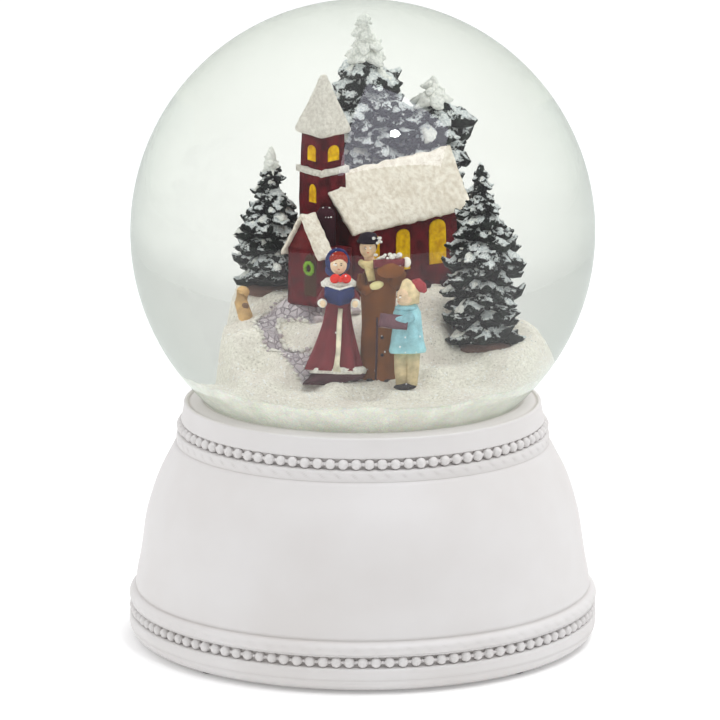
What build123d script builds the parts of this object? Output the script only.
from build123d import *
import os
from math import atan2, cos, degrees, pi, radians, sin, sqrt

# Musical snow globe.  Millimetres, +Z up, front towards -Y.
# Origin: centre of the circle that the foot pads rest on.

# ---------------------------------------------------------------- driving dimensions
BALL_R = 50.0            # outside of the glass ball
BALL_Z = 89.0            # height of its centre
GLASS_WALL = 2.0
NECK_R = 33.0            # outside of the glass neck below the ball
NECK_BOTTOM_Z = 43.0

FOOT_R = 50.9            # widest part of the base
FOOT_ROUND = 3.0         # rounding of its lower edge
RIM_R = 38.7             # collar rim round the ball
RIM_Z = 52.3
RIM_LIP = 0.7            # flat width of the rim
DISH_Z = 51.4            # the collar slopes down to this at the socket
BODY_FOOT_R = 49.45      # where the bell body meets the foot moulding
BODY_FOOT_Z = 11.6
BODY_CURVE = ((48.3, 19.0), (46.9, 27.5), (45.4, 33.2), (43.9, 36.8), (42.05, 40.3))
COLLAR_R = 40.9
COLLAR_Z = 42.8
BAND = ((40.3, 43.3), (40.15, 43.6))    # step below the plain band under the upper beads
BAND_TOP_R = 39.95
LOWER_BEAD_R, LOWER_BEAD_Z = 49.75, 6.9
UPPER_BEAD_R, UPPER_BEAD_Z = 39.25, 46.8
BEAD_RADIUS = 1.15
BEAD_STEP = 0.35         # shadow line between the lower beads and the roll
ROLL_TOP_Z = 11.0

PAD_STANDOFF = 0.4       # how far the foot pads stand below the casting
PAD_RECESS = 0.8
PAD_R = 2.2
PAD_CIRCLE_R = 45.2
PAD_COUNT = 4

DECK_TOP_Z = 41.0        # floor of the socket that holds the globe
DECK_BOTTOM_Z = 37.0
SOCKET_R = 34.4
CAVITY_TOP_R = 37.0
CAVITY_R = 41.0
CAVITY_WAIST_Z = 24.0
PLATE_Z = 12.0
PLATE_TOP_Z = 14.5
PLATE_R = 42.3
PLATE_RECESS_R = 42.5
PLATE_HOLE_R = 1.4
BOSS_CIRCLE_R = 37.5
BOSS_R = 3.5
BOSS_TOP_Z = 28.0
BOSS_ANGLES = (90, 210, 330)
BOSS_WEB_WIDTH = 4.0
PLATE_SCREW_R, PLATE_SCREW_LENGTH = 1.2, 9.0
MOVEMENT_SCREW_R, MOVEMENT_SCREW_LENGTH = 0.9, 4.5

# scene on the stopper: the church stands on its own turned axes
CHURCH_TURN = 40.0
CHURCH_X, CHURCH_Y = -1.6, 0.0
GROUND_Z = 78.5          # height of the hill top that the church stands on
CHURCH_SINK = 2.0        # how deep the church is set into the hill

# music movement
WINDER_X, WINDER_Y = -13.0, 2.0
DRUM_Y, DRUM_Z = 2.0, 25.5
SECOND_Y = 12.0
GOVERNOR_X = 22.5
CROWN_TEETH, CROWN_R = 36, 12.0
DRUM_PINION_TEETH = 18
DRUM_WHEEL_TEETH, DRUM_WHEEL_R = 30, 7.5
SECOND_PINION_TEETH = 10
SECOND_WHEEL_TEETH, SECOND_WHEEL_R = 20, 4.0
WORM_R = 1.3
SHAFT_CLEARANCE = 0.05   # radial play of every running shaft
NOTES = 18

# ---------------------------------------------------------------- worked-out sizes
DRUM_PINION_R = CROWN_R * DRUM_PINION_TEETH / CROWN_TEETH
SECOND_PINION_R = DRUM_WHEEL_R * SECOND_PINION_TEETH / DRUM_WHEEL_TEETH
WORM_PITCH = 2 * pi * SECOND_WHEEL_R / SECOND_WHEEL_TEETH
GOVERNOR_Y = SECOND_Y + SECOND_WHEEL_R + WORM_R
INNER_R = BALL_R - GLASS_WALL
NECK_BORE_R = NECK_R - GLASS_WALL
BEDPLATE_Z = PLATE_TOP_Z
BEDPLATE_TOP_Z = BEDPLATE_Z + 2.0


# ---------------------------------------------------------------- helpers
def rod(radius, low, high, x=0.0, y=0.0):
    """Upright cylinder between two heights."""
    return Pos(x, y, (low + high) / 2) * Cylinder(radius, high - low)


def bar_x(radius, left, right, y, z):
    """Cylinder along X."""
    return Pos((left + right) / 2, y, z) * Rot(0, 90, 0) * Cylinder(radius, right - left)


def block(x0, x1, y0, y1, z0, z1):
    """Box given by its limits."""
    return Pos((x0 + x1) / 2, (y0 + y1) / 2, (z0 + z1) / 2) * Box(x1 - x0, y1 - y0, z1 - z0)


def screw(x, y, head_z, length, shank_r, head_r, head_h, upward=True):
    """Pan-head screw with its seat at head_z; upward screws have the head below."""
    way = 1 if upward else -1
    head = rod(head_r, *sorted((head_z - way * head_h, head_z)), x, y)
    shank = rod(shank_r, *sorted((head_z, head_z + way * length)), x, y)
    slot = Pos(x, y, head_z - way * head_h) * Box(2 * head_r, head_r * 0.3, head_h * 0.8)
    return head + shank - slot


def on_circle(radius, angle, x=0.0, y=0.0):
    return x + radius * cos(radians(angle)), y + radius * sin(radians(angle))


def write(name, shape):
    """One STEP file per piece."""
    export_step(shape, f"parts/{name}.step")


# ---------------------------------------------------------------- base
def base_shell():
    """Hollow cast-resin bell with a bead row at the foot and another under the collar."""
    foot = PAD_STANDOFF
    with BuildSketch(Plane.XZ) as outline:
        with BuildLine():
            Polyline((PLATE_RECESS_R, PLATE_TOP_Z), (PLATE_RECESS_R, foot), (FOOT_R - FOOT_ROUND, foot))
            TangentArc((FOOT_R - FOOT_ROUND, foot), (FOOT_R, foot + FOOT_ROUND), tangent=(1, 0))
            Polyline((FOOT_R, foot + FOOT_ROUND), (FOOT_R, LOWER_BEAD_Z - BEAD_RADIUS),
                     (LOWER_BEAD_R, LOWER_BEAD_Z - BEAD_RADIUS))
            ThreePointArc((LOWER_BEAD_R, LOWER_BEAD_Z - BEAD_RADIUS),
                          (LOWER_BEAD_R + BEAD_RADIUS - 0.05, LOWER_BEAD_Z),
                          (LOWER_BEAD_R, LOWER_BEAD_Z + BEAD_RADIUS))
            roll_low = LOWER_BEAD_Z + BEAD_RADIUS + BEAD_STEP
            Polyline((LOWER_BEAD_R, LOWER_BEAD_Z + BEAD_RADIUS), (LOWER_BEAD_R, roll_low))
            ThreePointArc((LOWER_BEAD_R, roll_low), (FOOT_R, (roll_low + ROLL_TOP_Z) / 2),
                          (BODY_FOOT_R, ROLL_TOP_Z))
            Line((BODY_FOOT_R, ROLL_TOP_Z), (BODY_FOOT_R, BODY_FOOT_Z))
            Spline((BODY_FOOT_R, BODY_FOOT_Z), *BODY_CURVE, (COLLAR_R, COLLAR_Z))
            band_top = UPPER_BEAD_Z - BEAD_RADIUS
            Polyline((COLLAR_R, COLLAR_Z), *BAND, (BAND_TOP_R, band_top), (UPPER_BEAD_R, band_top))
            ThreePointArc((UPPER_BEAD_R, band_top), (UPPER_BEAD_R + BEAD_RADIUS, UPPER_BEAD_Z),
                          (UPPER_BEAD_R, UPPER_BEAD_Z + BEAD_RADIUS))
            Polyline((UPPER_BEAD_R, UPPER_BEAD_Z + BEAD_RADIUS), (RIM_R, RIM_Z),
                     (RIM_R - RIM_LIP, RIM_Z), (SOCKET_R, DISH_Z), (SOCKET_R, DECK_TOP_Z),
                     (0, DECK_TOP_Z), (0, DECK_BOTTOM_Z), (CAVITY_TOP_R, DECK_BOTTOM_Z),
                     (CAVITY_R, CAVITY_WAIST_Z), (CAVITY_R, PLATE_TOP_Z), (PLATE_RECESS_R, PLATE_TOP_Z))
        make_face()
    shell = revolve(outline.sketch, Axis.Z)
    for angle in BOSS_ANGLES:
        x, y = on_circle(BOSS_CIRCLE_R, angle)
        boss = rod(BOSS_R, PLATE_TOP_Z, BOSS_TOP_Z, x, y)
        web_length = CAVITY_R - BOSS_CIRCLE_R + 2.0
        web_x, web_y = on_circle(BOSS_CIRCLE_R + web_length / 2, angle)
        web = Pos(web_x, web_y, (PLATE_TOP_Z + BOSS_TOP_Z) / 2) * Rot(0, 0, angle) \
            * Box(web_length, BOSS_WEB_WIDTH, BOSS_TOP_Z - PLATE_TOP_Z)
        hole = rod(PLATE_SCREW_R, PLATE_TOP_Z, PLATE_Z + PLATE_SCREW_LENGTH + 1.5, x, y)
        shell = shell + boss + web - hole
    for n in range(PAD_COUNT):
        x, y = on_circle(PAD_CIRCLE_R, 45 + n * 360 / PAD_COUNT)
        shell = shell - rod(PAD_R, 0, PAD_STANDOFF + PAD_RECESS, x, y)
    return shell


def foot_pads():
    """Four rubber dots set into the foot; they carry the globe."""
    spots = [on_circle(PAD_CIRCLE_R, 45 + n * 360 / PAD_COUNT) for n in range(PAD_COUNT)]
    return Compound([rod(PAD_R, 0, PAD_STANDOFF + PAD_RECESS, x, y) for x, y in spots])


MOVEMENT_SCREW_SPOTS = ((-22.0, -17.0), (20.0, -17.0), (-3.0, 20.0))


def bottom_plate():
    """Plastic disc that closes the cavity; the winding arbor passes through it."""
    arbor_hole = rod(ARBOR_R + 0.65, PLATE_Z, PLATE_TOP_Z, WINDER_X, WINDER_Y)
    plate = rod(PLATE_R, PLATE_Z, PLATE_TOP_Z) - arbor_hole
    for angle in BOSS_ANGLES:
        plate = plate - rod(PLATE_HOLE_R, PLATE_Z, PLATE_TOP_Z, *on_circle(BOSS_CIRCLE_R, angle))
    for x, y in MOVEMENT_SCREW_SPOTS:
        plate = plate - rod(MOVEMENT_SCREW_R + 0.2, PLATE_Z, PLATE_TOP_Z, x, y)
    return plate


def plate_screws():
    return Compound([screw(*on_circle(BOSS_CIRCLE_R, angle), head_z=PLATE_Z, length=PLATE_SCREW_LENGTH,
                           shank_r=PLATE_SCREW_R, head_r=2.4, head_h=1.2) for angle in BOSS_ANGLES])


def movement_screws():
    return Compound([screw(x, y, head_z=PLATE_Z, length=MOVEMENT_SCREW_LENGTH,
                           shank_r=MOVEMENT_SCREW_R, head_r=1.9, head_h=1.0)
                     for x, y in MOVEMENT_SCREW_SPOTS])


# ---------------------------------------------------------------- globe
def sphere_height(radius, ring_r):
    """Height at which a sphere on the ball's centre narrows to ring_r, on its lower half."""
    return BALL_Z - sqrt(radius ** 2 - ring_r ** 2)


def globe_outline(radius, ring_r, bottom):
    """Half section of a ball with a straight neck, closed along the axis."""
    join = sphere_height(radius, ring_r)
    with BuildSketch(Plane.XZ) as half:
        with BuildLine():
            ThreePointArc((0, BALL_Z + radius), (radius, BALL_Z), (ring_r, join))
            Polyline((ring_r, join), (ring_r, bottom), (0, bottom), (0, BALL_Z + radius))
        make_face()
    return half.sketch


def glass_globe():
    outer = revolve(globe_outline(BALL_R, NECK_R, NECK_BOTTOM_Z), Axis.Z)
    inner = revolve(globe_outline(INNER_R, NECK_BORE_R, NECK_BOTTOM_Z), Axis.Z)
    return outer - inner


STOPPER_TOP_Z = 50.5
STOPPER_FLANGE = 1.0
SNOW_BED_TOP_Z = 59.5


def stopper():
    """Rubber plug with a flange under the end of the neck."""
    flange = rod(NECK_R + STOPPER_FLANGE, DECK_TOP_Z, NECK_BOTTOM_Z)
    return flange + rod(NECK_BORE_R, NECK_BOTTOM_Z, STOPPER_TOP_Z)


def sealing_ring():
    """Silicone bead between the neck and the socket in the base."""
    ring = rod(SOCKET_R, NECK_BOTTOM_Z, DISH_Z) - rod(NECK_R, NECK_BOTTOM_Z, DISH_Z)
    return ring - Pos(0, 0, BALL_Z) * Sphere(BALL_R)


def snow_bed():
    """Settled flakes: the bottom of the globe, which the hill is then cut out of."""
    inside = revolve(globe_outline(INNER_R, NECK_BORE_R, STOPPER_TOP_Z), Axis.Z)
    return inside & rod(BALL_R, STOPPER_TOP_Z, SNOW_BED_TOP_Z)


# ---------------------------------------------------------------- winter scene
HILL_RINGS = (           # centre x, centre y, radius, height of each level of the hill
    (0.0, 0.0, 29.5, STOPPER_TOP_Z),
    (0.0, 0.0, 34.5, 59.0),
    (0.0, 1.0, 28.5, 62.5),
    (0.0, 2.5, 26.0, 66.0),
    (-0.5, 5.0, 23.5, 72.0),
    (-0.5, 8.0, 20.0, GROUND_Z),
)


def snow_hill():
    """Mound that carries the scene, stepped up towards the back."""
    levels = [Pos(x, y, z) * Circle(r) for x, y, r, z in HILL_RINGS]
    hill = loft(levels[:2], ruled=True)
    for lower, upper in zip(levels[1:-1], levels[2:]):
        hill = hill + loft([lower, upper], ruled=True)
    return hill


def church_frame(u, v, z):
    """Place a shape drawn at the origin on the church's own axes."""
    return Pos(CHURCH_X, CHURCH_Y, 0) * Rot(0, 0, CHURCH_TURN) * Pos(u, v, z)


def gabled(length, half_width, floor, eave, ridge):
    """House-shaped prism along local X, starting at x = 0, centred on y = 0."""
    gable = Polyline([(0, -half_width, floor), (0, half_width, floor), (0, half_width, eave),
                      (0, 0, ridge), (0, -half_width, eave)], close=True)
    return extrude(make_face(gable), length, dir=(1, 0, 0))


def roof_shell(length, half_width, eave, ridge, thickness):
    """Two sloping slabs that sit on a gabled prism."""
    slope = (ridge - eave) / half_width
    low = eave - slope * ROOF_OVERHANG
    reach = half_width + ROOF_OVERHANG
    section = Polyline([(0, -reach, low), (0, 0, ridge), (0, reach, low),
                        (0, reach, low + thickness), (0, 0, ridge + thickness),
                        (0, -reach, low + thickness)], close=True)
    return extrude(make_face(section), length, dir=(1, 0, 0))


FLOOR_Z = GROUND_Z - CHURCH_SINK
NAVE = dict(u=0.2, v=4.8, length=20.6, half=4.3, eave=90.4, ridge=97.0)
PORCH = dict(u=-9.0, v=2.1, length=9.4, half=3.5, eave=86.8, ridge=92.0)
NAVE_ROOF = dict(u=-0.4, length=23.2, thickness=0.9)
PORCH_ROOF = dict(u=-9.7, length=6.4, thickness=0.9)
ROOF_OVERHANG = 0.9
TOWER_U, TOWER_V, TOWER_SIDE = -0.9, 5.7, 5.2
TOWER_TOP_Z = 105.2
LEDGE_Z, LEDGE_OVERHANG, LEDGE_HEIGHT = 98.0, 0.4, 1.0
SPIRE_OVERHANG = 0.7
SPIRE_TIP_Z, SPIRE_TIP_SIDE = 114.5, 0.8


def church_walls():
    """Nave, bell tower and porch, cast in one piece."""
    nave = church_frame(NAVE["u"], NAVE["v"], 0) * gabled(
        NAVE["length"], NAVE["half"], FLOOR_Z, NAVE["eave"], NAVE["ridge"])
    porch = church_frame(PORCH["u"], PORCH["v"], 0) * gabled(
        PORCH["length"], PORCH["half"], FLOOR_Z, PORCH["eave"], PORCH["ridge"])
    tower = church_frame(TOWER_U, TOWER_V, (FLOOR_Z + TOWER_TOP_Z) / 2) * Box(
        TOWER_SIDE, TOWER_SIDE, TOWER_TOP_Z - FLOOR_Z)
    ledge_side = TOWER_SIDE + 2 * LEDGE_OVERHANG
    ledge = church_frame(TOWER_U, TOWER_V, LEDGE_Z) * Box(ledge_side, ledge_side, LEDGE_HEIGHT)
    return nave + porch + tower + ledge


def nave_roof():
    return church_frame(NAVE_ROOF["u"], NAVE["v"], 0) * roof_shell(
        NAVE_ROOF["length"], NAVE["half"], NAVE["eave"], NAVE["ridge"], NAVE_ROOF["thickness"])


def porch_roof():
    return church_frame(PORCH_ROOF["u"], PORCH["v"], 0) * roof_shell(
        PORCH_ROOF["length"], PORCH["half"], PORCH["eave"], PORCH["ridge"], PORCH_ROOF["thickness"])


def spire():
    """Snow-covered pyramid on the tower."""
    side = TOWER_SIDE + 2 * SPIRE_OVERHANG
    eave = church_frame(TOWER_U, TOWER_V, TOWER_TOP_Z) * Rectangle(side, side)
    tip = church_frame(TOWER_U, TOWER_V, SPIRE_TIP_Z) * Rectangle(SPIRE_TIP_SIDE, SPIRE_TIP_SIDE)
    return loft([eave, tip], ruled=True)


TREES = {                # x, y, foot height, tip height, radius of the lowest boughs
    "tree_left": (-14.5, 6.5, 77.0, 101.6, 5.4),
    "tree_back": (0.2, 21.0, 72.0, 117.3, 6.6),
    "tree_back_right": (11.2, 22.0, 68.0, 108.2, 6.0),
    "tree_right": (20.6, -2.0, 64.0, 101.1, 7.0),
}
BOUGH_LAYERS = 4
BOUGH_START = 0.12       # share of the tree's height that is bare trunk
TIER_HEIGHT = 0.45       # share of the boughs' height that one tier covers
TIER_TAPER = 0.72
TRUNK_R = 1.4
TREE_TIP_R = 0.4


def tree(x, y, foot, tip, radius):
    """Fir tree: a trunk and overlapping cones of boughs."""
    height = tip - foot
    shape = rod(TRUNK_R, foot, foot + height / 2, x, y)
    start = foot + height * BOUGH_START
    for n in range(BOUGH_LAYERS):
        share = n / BOUGH_LAYERS
        low = start + (tip - start) * share
        high = min(tip, low + (tip - start) * TIER_HEIGHT)
        tier = Cone(radius * (1 - TIER_TAPER * share), TREE_TIP_R, high - low)
        shape = shape + Pos(x, y, (low + high) / 2) * tier
    return shape


FIGURES = {              # x, y, foot height, chin height, top of head, hem radius, book height
    "caroller_woman": (-4.3, -18.5, 65.5, 83.6, 89.1, 5.0, 81.0),
    "caroller_man": (3.5, -15.0, 65.0, 86.2, 91.6, 3.1, 86.8),
    "caroller_child": (7.9, -20.0, 64.0, 78.6, 83.6, 2.9, 76.5),
}
BOOK_HALF_WIDTH, BOOK_HALF_HEIGHT, BOOK_REACH = 2.2, 0.7, 1.8


def figure(x, y, foot, chin, top, hem, book_z):
    """Standing singer: flared coat, head, and an open book held in front."""
    head_r = (top - chin) / 2
    coat_top = chin + head_r * 0.5
    coat = Pos(x, y, (foot + coat_top) / 2) * Cone(hem, head_r * 0.75, coat_top - foot)
    head = Pos(x, y, top - head_r) * Sphere(head_r)
    book = block(x - BOOK_HALF_WIDTH, x + BOOK_HALF_WIDTH, y - head_r - BOOK_REACH, y - 0.5,
                 book_z - BOOK_HALF_HEIGHT, book_z + BOOK_HALF_HEIGHT)
    return coat + head + book


LOG_X, LOG_Y = -19.4, 0.0
LOG_R, LOG_KNOB_R = 1.3, 1.4
LOG_FOOT_Z, LOG_TOP_Z = 72.0, 79.4


def log_post():
    """Short log with a knob on top."""
    return rod(LOG_R, LOG_FOOT_Z, LOG_TOP_Z, LOG_X, LOG_Y) + Pos(LOG_X, LOG_Y, LOG_TOP_Z) * Sphere(
        LOG_KNOB_R)


# ---------------------------------------------------------------- music movement
def toothed_disc(teeth, pitch_r, addendum, dedendum, width, tooth_share, phase=0.0):
    """Disc in the XY plane, centred on Z = 0, with trapezoid teeth; phase turns the first tooth."""
    tip_r, root_r = pitch_r + addendum, pitch_r - dedendum
    pitch_angle = 360 / teeth
    half_pitch = pitch_angle * tooth_share / 2
    half_root = half_pitch * 1.25
    half_tip = half_pitch * 0.55 * pitch_r / tip_r
    points = []
    for n in range(teeth):
        centre = phase + n * pitch_angle
        points += [on_circle(root_r, centre - half_root), on_circle(tip_r, centre - half_tip),
                   on_circle(tip_r, centre + half_tip), on_circle(root_r, centre + half_root)]
    face = make_face(Polyline([(x, y, 0) for x, y in points], close=True))
    return Pos(0, 0, -width / 2) * extrude(face, width)


def across_x(shape, x, y, z):
    """Stand a disc drawn in the XY plane upright, so that its axis is X and its 0 degrees is +Y."""
    upright = Plane(origin=(x, y, z), x_dir=(0, 1, 0), z_dir=(1, 0, 0))
    return upright.location * shape


BEARING_LEFT = (0.5, 1.7)
BEARING_RIGHT = (24.4, 25.9)
SECOND_BEARING = (15.8, 17.2)
DRUM_SHAFT_R = 1.0
SECOND_SHAFT_R = 0.7
GOVERNOR_SHAFT_R = 0.5
ARBOR_R = 1.75
COMB_SEAT_Z = 24.6
COMB_TIP_GAP = 0.15
DRUM_R = 6.5
PIN_TIP_R = 7.1
HOUSING_POST_ANGLES = (110, 250)
HOUSING_POST_R = 16.2
GOVERNOR_SCREW = (GOVERNOR_X - 5.5, 22.6)
BEDPLATE_X, BEDPLATE_Y = (-25.0, 27.0), (-20.0, 24.5)
COMB_SEAT_X, COMB_SEAT_Y = (1.5, 19.0), (-15.0, -8.5)
COMB_SCREW_SPOTS = ((5.5, -11.5), (15.0, -11.5))
COMB_SCREW_LENGTH = 4.0
SMALL_SCREW_R = 0.8
BEARING_WALL = 2.0       # metal left round a shaft at the top of its bearing
PIVOT_DEPTH = 1.2        # depth of the worm's lower pivot hole


def bedplate():
    """Die-cast plate with the comb seat and the bearing uprights."""
    top = BEDPLATE_TOP_Z
    drum_half = DRUM_SHAFT_R + BEARING_WALL
    second_half = SECOND_SHAFT_R + BEARING_WALL - 0.5
    body = block(*BEDPLATE_X, *BEDPLATE_Y, BEDPLATE_Z, top)
    body = body + block(*COMB_SEAT_X, *COMB_SEAT_Y, top, COMB_SEAT_Z)
    body = body + block(*BEARING_LEFT, DRUM_Y - drum_half, DRUM_Y + drum_half, top, DRUM_Z + drum_half)
    body = body + block(*BEARING_RIGHT, DRUM_Y - drum_half, SECOND_Y + second_half, top,
                        DRUM_Z + drum_half)
    body = body + block(*SECOND_BEARING, SECOND_Y - 1.6, SECOND_Y + 1.6, top, DRUM_Z + 2)
    body = body - bar_x(DRUM_SHAFT_R + SHAFT_CLEARANCE, 0, BEDPLATE_X[1], DRUM_Y, DRUM_Z)
    body = body - bar_x(SECOND_SHAFT_R + SHAFT_CLEARANCE, SECOND_BEARING[0], BEDPLATE_X[1],
                        SECOND_Y, DRUM_Z)
    body = body - rod(ARBOR_R + SHAFT_CLEARANCE, BEDPLATE_Z, top, WINDER_X, WINDER_Y)
    body = body - rod(GOVERNOR_SHAFT_R + SHAFT_CLEARANCE, top - PIVOT_DEPTH, top, GOVERNOR_X, GOVERNOR_Y)
    for x, y in MOVEMENT_SCREW_SPOTS:
        body = body - rod(MOVEMENT_SCREW_R, BEDPLATE_Z, top, x, y)
    for x, y in COMB_SCREW_SPOTS:
        body = body - rod(SMALL_SCREW_R, COMB_SEAT_Z - COMB_SCREW_LENGTH, COMB_SEAT_Z, x, y)
    for x, y in housing_post_spots():
        body = body - rod(SMALL_SCREW_R, BEDPLATE_Z, top, x, y)
    return body - rod(SMALL_SCREW_R, BEDPLATE_Z, top, *GOVERNOR_SCREW)


def housing_post_spots():
    return [on_circle(HOUSING_POST_R, angle, WINDER_X, WINDER_Y) for angle in HOUSING_POST_ANGLES]


DRUM_LEFT, DRUM_RIGHT = 2.2, 18.6
DRUM_MARGIN = 0.4        # plain edge of the drum beyond the outer tracks
NOTE_PITCH = (DRUM_RIGHT - DRUM_LEFT - 2 * DRUM_MARGIN) / NOTES
COMB_THICKNESS = 0.9
COMB_SLOT = 0.28
COMB_ROOT_Y = -8.8       # slot root of the longest, lowest note
COMB_ROOT_STEP = 0.05    # each higher note's tooth is this much shorter
PIN_R = 0.18
PINS_PER_NOTE = 3


def note_x(n):
    return DRUM_LEFT + DRUM_MARGIN + (n + 0.5) * NOTE_PITCH


def comb():
    """Steel comb with one tooth per note; the tips stop just short of the pins."""
    tip_y = DRUM_Y - PIN_TIP_R - COMB_TIP_GAP
    low, high = COMB_SEAT_Z, COMB_SEAT_Z + COMB_THICKNESS
    left, right = note_x(0) - NOTE_PITCH / 2, note_x(NOTES - 1) + NOTE_PITCH / 2
    plate = block(left, right, COMB_SEAT_Y[0], tip_y, low, high)
    for n in range(NOTES - 1):
        x = note_x(n) + NOTE_PITCH / 2
        root = COMB_ROOT_Y - COMB_ROOT_STEP * n
        plate = plate - block(x - COMB_SLOT / 2, x + COMB_SLOT / 2, root, tip_y + 1, low - 1, high + 1)
    for x, y in COMB_SCREW_SPOTS:
        plate = plate - rod(SMALL_SCREW_R + 0.2, low, high, x, y)
    return plate


def comb_screws():
    return Compound([screw(x, y, head_z=COMB_SEAT_Z + COMB_THICKNESS, length=COMB_SCREW_LENGTH,
                           shank_r=SMALL_SCREW_R, head_r=1.6, head_h=1.0, upward=False)
                     for x, y in COMB_SCREW_SPOTS])


def music_cylinder():
    """Brass drum with tune pins on eighteen tracks."""
    drum = bar_x(DRUM_R, DRUM_LEFT, DRUM_RIGHT, DRUM_Y, DRUM_Z)
    drum = drum - bar_x(DRUM_SHAFT_R, DRUM_LEFT, DRUM_RIGHT, DRUM_Y, DRUM_Z)
    pins = []
    root_r = DRUM_R - 0.2
    for n in range(NOTES):
        for beat in range(PINS_PER_NOTE):
            scatter = n * 47 + (n * n * 11) % 40
            angle = (scatter + beat * 360 / PINS_PER_NOTE) % 360
            pin = Pos(0, 0, (root_r + PIN_TIP_R) / 2) * Cylinder(PIN_R, PIN_TIP_R - root_r)
            pins.append(Pos(note_x(n), DRUM_Y, DRUM_Z) * Rot(angle, 0, 0) * pin)
    return drum.fuse(*pins)


def drum_shaft():
    return bar_x(DRUM_SHAFT_R, -2.6, BEARING_RIGHT[1] + 0.4, DRUM_Y, DRUM_Z)


def wheel_on_shaft(gear, width, x, y, shaft_r):
    """Gear stood across X at a place along its shaft, bored to fit it."""
    return across_x(gear, x, y, DRUM_Z) - bar_x(shaft_r, x - width, x + width, y, DRUM_Z)


def drum_pinion():
    """Small gear on the near end of the drum shaft, driven by the crown wheel."""
    width = 2.0
    gear = toothed_disc(DRUM_PINION_TEETH, DRUM_PINION_R, addendum=0.7, dedendum=1.0, width=width,
                        tooth_share=0.30, phase=-90)
    return wheel_on_shaft(gear, width, WINDER_X + CROWN_R, DRUM_Y, DRUM_SHAFT_R)


DRUM_WHEEL_X = 19.8


def drum_wheel():
    """Large gear on the far end of the drum shaft."""
    width = 1.4
    gear = toothed_disc(DRUM_WHEEL_TEETH, DRUM_WHEEL_R, addendum=0.42, dedendum=0.6, width=width,
                        tooth_share=0.36)
    return wheel_on_shaft(gear, width, DRUM_WHEEL_X, DRUM_Y, DRUM_SHAFT_R)


def second_pinion():
    """Steel arbor with the ten-leaf pinion cut in one piece; a gap faces the drum wheel."""
    gear = toothed_disc(SECOND_PINION_TEETH, SECOND_PINION_R, addendum=0.42, dedendum=0.6, width=2.0,
                        tooth_share=0.36, phase=180 / SECOND_PINION_TEETH)
    return across_x(gear, DRUM_WHEEL_X, SECOND_Y, DRUM_Z) + bar_x(
        SECOND_SHAFT_R, SECOND_BEARING[0] - 0.3, BEARING_RIGHT[1] + 0.3, SECOND_Y, DRUM_Z)


def second_wheel():
    """Worm wheel on the second arbor; one tooth points straight at the worm."""
    width = 1.0
    gear = toothed_disc(SECOND_WHEEL_TEETH, SECOND_WHEEL_R, addendum=0.38, dedendum=0.52, width=width,
                        tooth_share=0.34)
    return wheel_on_shaft(gear, width, GOVERNOR_X, SECOND_Y, SECOND_SHAFT_R)


WORM_TURNS = 4.5
WORM_DEDENDUM, WORM_ADDENDUM = 0.48, 0.36
FLY_LOW, FLY_HIGH = 30.5, 32.6
FLY_SPAN, FLY_THICKNESS, FLY_HUB_R = 6.8, 0.5, 1.1
BRACKET_Y = (21.6, 23.6)
BRACKET_HALF_WIDTH = 2.0
BRACKET_TOP_Z = 34.4
BRACKET_ARM, BRACKET_FOOT = 1.0, 1.2    # thickness of its arm and of its foot


def governor_worm():
    """Upright shaft with a single-start worm, half a pitch out of step with the facing tooth."""
    core_r, crest_r = WORM_R - WORM_DEDENDUM, WORM_R + WORM_ADDENDUM
    root_half, crest_half = 0.26, 0.13
    start_z = DRUM_Z - 2.25 * WORM_PITCH
    path = Helix(WORM_PITCH, WORM_TURNS * WORM_PITCH, core_r)
    section = make_face(Polyline([(core_r - 0.1, 0, -root_half), (crest_r, 0, -crest_half),
                                  (crest_r, 0, crest_half), (core_r - 0.1, 0, root_half)], close=True))
    thread = sweep(section, path=path, is_frenet=True)
    worm = Pos(GOVERNOR_X, GOVERNOR_Y, start_z) * thread
    core = rod(core_r, start_z - 0.6, start_z + (WORM_TURNS + 0.5) * WORM_PITCH, GOVERNOR_X, GOVERNOR_Y)
    shaft = rod(GOVERNOR_SHAFT_R, BEDPLATE_TOP_Z - PIVOT_DEPTH + 0.2, BRACKET_TOP_Z + 0.2,
                GOVERNOR_X, GOVERNOR_Y)
    return shaft + core + worm


def governor_fly():
    """Two-vane air brake pressed on the worm shaft."""
    hub = rod(FLY_HUB_R, FLY_LOW, FLY_HIGH, GOVERNOR_X, GOVERNOR_Y)
    vanes = Pos(GOVERNOR_X, GOVERNOR_Y, (FLY_LOW + FLY_HIGH) / 2) * Box(
        FLY_SPAN, FLY_THICKNESS, FLY_HIGH - FLY_LOW)
    return hub + vanes - rod(GOVERNOR_SHAFT_R, FLY_LOW, FLY_HIGH, GOVERNOR_X, GOVERNOR_Y)


def governor_bracket():
    """Bent strip that holds the upper pivot of the worm."""
    left, right = GOVERNOR_X - BRACKET_HALF_WIDTH, GOVERNOR_X + BRACKET_HALF_WIDTH
    foot_left = GOVERNOR_SCREW[0] - BRACKET_HALF_WIDTH
    foot_z = (BEDPLATE_TOP_Z, BEDPLATE_TOP_Z + BRACKET_FOOT)
    arm_z = (BRACKET_TOP_Z - BRACKET_ARM, BRACKET_TOP_Z)
    body = block(left, right, *BRACKET_Y, BEDPLATE_TOP_Z, BRACKET_TOP_Z)
    body = body + block(left, right, GOVERNOR_Y - 1.6, BRACKET_Y[1], *arm_z)
    body = body + block(foot_left, right, *BRACKET_Y, *foot_z)
    body = body - rod(GOVERNOR_SHAFT_R + SHAFT_CLEARANCE, *arm_z, GOVERNOR_X, GOVERNOR_Y)
    return body - rod(SMALL_SCREW_R + SHAFT_CLEARANCE, *foot_z, *GOVERNOR_SCREW)


def governor_screw():
    return screw(*GOVERNOR_SCREW, head_z=BEDPLATE_TOP_Z + BRACKET_FOOT, length=3.0,
                 shank_r=SMALL_SCREW_R, head_r=1.0, head_h=0.7, upward=False)


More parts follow.
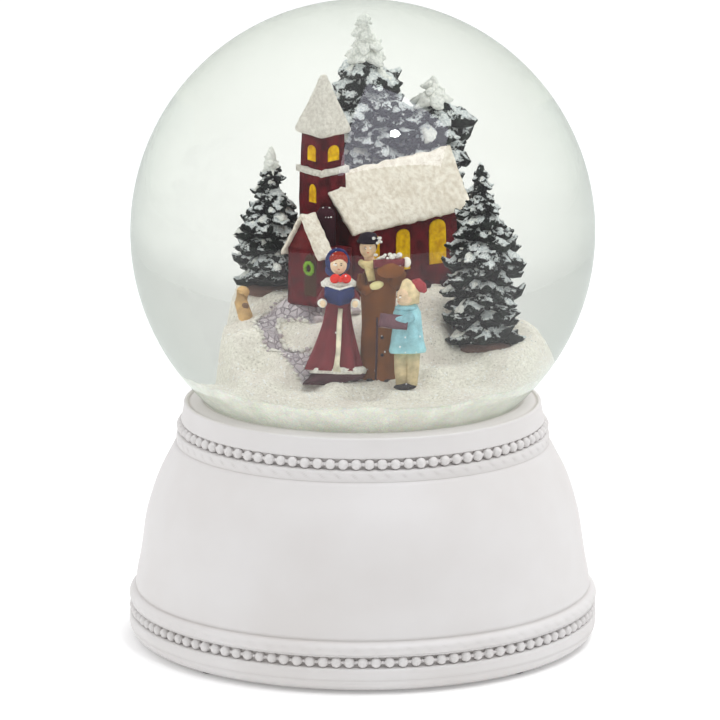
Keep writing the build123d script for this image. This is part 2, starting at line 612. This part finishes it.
HOUSING_R = 10.0
HOUSING_WALL = 0.8
HOUSING_LOW, HOUSING_TOP = 20.6, 30.5
HOUSING_POST_SIZE = 2.0
EAR_WIDTH, EAR_HEIGHT = 4.0, 5.0


def spring_housing():
    """Inverted cup over the mainspring, held by two ears and posts."""
    cup = rod(HOUSING_R, HOUSING_LOW, HOUSING_TOP, WINDER_X, WINDER_Y)
    cup = cup - rod(HOUSING_R - HOUSING_WALL, HOUSING_LOW, HOUSING_TOP - HOUSING_WALL, WINDER_X, WINDER_Y)
    ear_length = HOUSING_POST_R - HOUSING_R + HOUSING_WALL / 2
    for x, y in housing_post_spots():
        post = rod(HOUSING_POST_SIZE, BEDPLATE_TOP_Z, HOUSING_TOP, x, y)
        angle = degrees(atan2(y - WINDER_Y, x - WINDER_X))
        ear = Pos(WINDER_X, WINDER_Y, HOUSING_TOP - EAR_HEIGHT / 2) * Rot(0, 0, angle) \
            * Pos(HOUSING_POST_R - ear_length / 2, 0, 0) * Box(ear_length, EAR_WIDTH, EAR_HEIGHT)
        cup = cup + post + ear
    cup = cup - rod(ARBOR_R + SHAFT_CLEARANCE, HOUSING_LOW, HOUSING_TOP, WINDER_X, WINDER_Y)
    for x, y in housing_post_spots():
        cup = cup - rod(SMALL_SCREW_R + 0.1, BEDPLATE_TOP_Z, HOUSING_TOP, x, y)
    return cup


def housing_screws():
    length = HOUSING_TOP - BEDPLATE_Z - 0.2
    return Compound([screw(x, y, head_z=HOUSING_TOP, length=length, shank_r=SMALL_SCREW_R,
                           head_r=1.7, head_h=1.0, upward=False) for x, y in housing_post_spots()])


def mainspring():
    """Flat spiral, wound from near the arbor out to the housing wall."""
    turns, inner_r, outer_r, strip = 8, 2.6, 8.9, 0.3
    low, height = HOUSING_LOW + 1.0, 7.6
    steps = 16

    def coil(offset):
        points = []
        for n in range(turns * steps + 1):
            share = n / (turns * steps)
            radius = inner_r + (outer_r - inner_r - strip) * share + offset
            points.append(on_circle(radius, 360 * n / steps, WINDER_X, WINDER_Y) + (0,))
        return points

    inside, outside = coil(0.0), coil(strip)
    ring = Wire([Spline(inside), Line(inside[-1], outside[-1]), Spline(outside),
                 Line(outside[0], inside[0])])
    return Pos(0, 0, low) * extrude(Face(ring), height, dir=(0, 0, 1))


ARBOR_BOTTOM_Z, ARBOR_TOP_Z = 5.0, 32.0
KEY_HUB_TOP_Z, KEY_HUB_R = 11.4, 3.0
KEY_THICKNESS, KEY_HALF_SPAN = 1.6, 14.0
KEY_BOTTOM_Z, KEY_TOP_Z = 2.0, 10.4
CROWN_DISC_R, CROWN_DISC_Z = 13.3, (17.2, 18.4)
CROWN_TOOTH_R = (10.9, 13.2)
CROWN_TOOTH_TOP_Z = 20.2
CROWN_TOOTH_HALF = (1.35, 0.6)   # half widths of a tooth at its root and tip, in half pitches of metal
CLICK_Z = (18.4, 18.9)
CLICK_HUB_R, CLICK_ARM_LENGTH, CLICK_ARM_WIDTH = 3.2, 4.8, 1.6


def winding_arbor():
    """Steel spindle from the key up through the spring."""
    return rod(ARBOR_R, ARBOR_BOTTOM_Z, ARBOR_TOP_Z, WINDER_X, WINDER_Y)


def crown_wheel():
    """Brass wheel on the arbor with teeth standing up from its rim; a gap faces the drum pinion."""
    disc = rod(CROWN_DISC_R, *CROWN_DISC_Z, WINDER_X, WINDER_Y)
    pitch_angle = 360 / CROWN_TEETH
    half = pitch_angle * 0.32 / 2
    root, tip = (half * share for share in CROWN_TOOTH_HALF)
    root_z = CROWN_DISC_Z[1] - 0.1
    corners = ((-root, root_z), (root, root_z), (tip, CROWN_TOOTH_TOP_Z), (-tip, CROWN_TOOTH_TOP_Z))
    teeth = []
    for n in range(CROWN_TEETH):
        centre = (n + 0.5) * pitch_angle
        ends = [make_face(Polyline([on_circle(radius, centre + a) + (h,) for a, h in corners], close=True))
                for radius in CROWN_TOOTH_R]
        teeth.append(Pos(WINDER_X, WINDER_Y, 0) * loft(ends, ruled=True))
    return disc.fuse(*teeth) - rod(ARBOR_R, CROWN_DISC_Z[0], CROWN_TOOTH_TOP_Z, WINDER_X, WINDER_Y)


def click_spring():
    """Three-armed spring washer between the crown wheel and the housing; it slips when winding."""
    low, high = CLICK_Z
    washer = rod(CLICK_HUB_R, low, high, WINDER_X, WINDER_Y)
    for n in range(3):
        washer = washer + Pos(WINDER_X, WINDER_Y, (low + high) / 2) * Rot(0, 0, n * 120) \
            * Pos(CLICK_HUB_R + 1.0, 0, 0) * Box(CLICK_ARM_LENGTH, CLICK_ARM_WIDTH, high - low)
    return washer - rod(ARBOR_R, low, high, WINDER_X, WINDER_Y)


def winding_key():
    """Butterfly key on the lower end of the arbor, inside the foot recess."""
    hub = rod(KEY_HUB_R, ARBOR_BOTTOM_Z - 1.0, KEY_HUB_TOP_Z, WINDER_X, WINDER_Y)
    wing_z, wing_centre, eye_centre = 6.0, 7.4, 7.8
    with BuildSketch(Plane.XZ) as side:
        with Locations((-wing_centre, wing_z), (wing_centre, wing_z)):
            Ellipse(5.8, 3.9)
        Rectangle(10, 4.4, align=(Align.CENTER, Align.MIN))
        with Locations((-eye_centre, wing_z), (eye_centre, wing_z)):
            Ellipse(3.0, 1.7, mode=Mode.SUBTRACT)
    wings = Pos(WINDER_X, WINDER_Y + KEY_THICKNESS / 2, 0) * extrude(side.sketch, KEY_THICKNESS)
    box = block(WINDER_X - KEY_HALF_SPAN, WINDER_X + KEY_HALF_SPAN, WINDER_Y - KEY_HUB_R,
                WINDER_Y + KEY_HUB_R, KEY_BOTTOM_Z, KEY_TOP_Z)
    return hub + (wings & box) - rod(ARBOR_R, ARBOR_BOTTOM_Z, KEY_HUB_TOP_Z, WINDER_X, WINDER_Y)


# ---------------------------------------------------------------- build everything
def scene_pieces():
    """Every solid that stands in the water, trimmed so that neighbours only touch."""
    walls = church_walls()
    roofs = {"nave_roof": nave_roof() - walls, "porch_roof": porch_roof() - walls,
             "spire": spire() - walls}
    roofs["nave_roof"] = roofs["nave_roof"] - roofs["spire"]
    pieces = {"church_walls": walls}
    pieces.update(roofs)
    for name, size in TREES.items():
        shape = tree(*size) - walls - roofs["nave_roof"]
        pieces[name] = shape
    pieces["tree_back_right"] = pieces["tree_back_right"] - pieces["tree_back"]
    for name, size in FIGURES.items():
        pieces[name] = figure(*size)
    pieces["log_post"] = log_post()
    return pieces


def fill_water(solids):
    """Water is what is left of the globe's inside."""
    water = revolve(globe_outline(INNER_R, NECK_BORE_R, STOPPER_TOP_Z), Axis.Z)
    for solid in solids:
        water = water - solid
    return water


def main():
    os.makedirs("parts", exist_ok=True)
    pieces = scene_pieces()
    hill = snow_hill()
    bed = snow_bed() - hill
    for solid in pieces.values():
        hill = hill - solid
        bed = bed - solid
    pieces["snow_hill"] = hill
    pieces["snow_bed"] = bed
    pieces["water"] = fill_water(pieces.values())
    for build in (base_shell, foot_pads, bottom_plate, plate_screws, movement_screws, glass_globe,
                  stopper, sealing_ring, bedplate, comb, comb_screws, music_cylinder, drum_shaft,
                  drum_pinion, drum_wheel, second_pinion, second_wheel, governor_worm, governor_fly,
                  governor_bracket, governor_screw, spring_housing, housing_screws, mainspring,
                  winding_arbor, crown_wheel, click_spring, winding_key):
        pieces[build.__name__] = build()
    for name, shape in pieces.items():
        write(name, shape)


main()
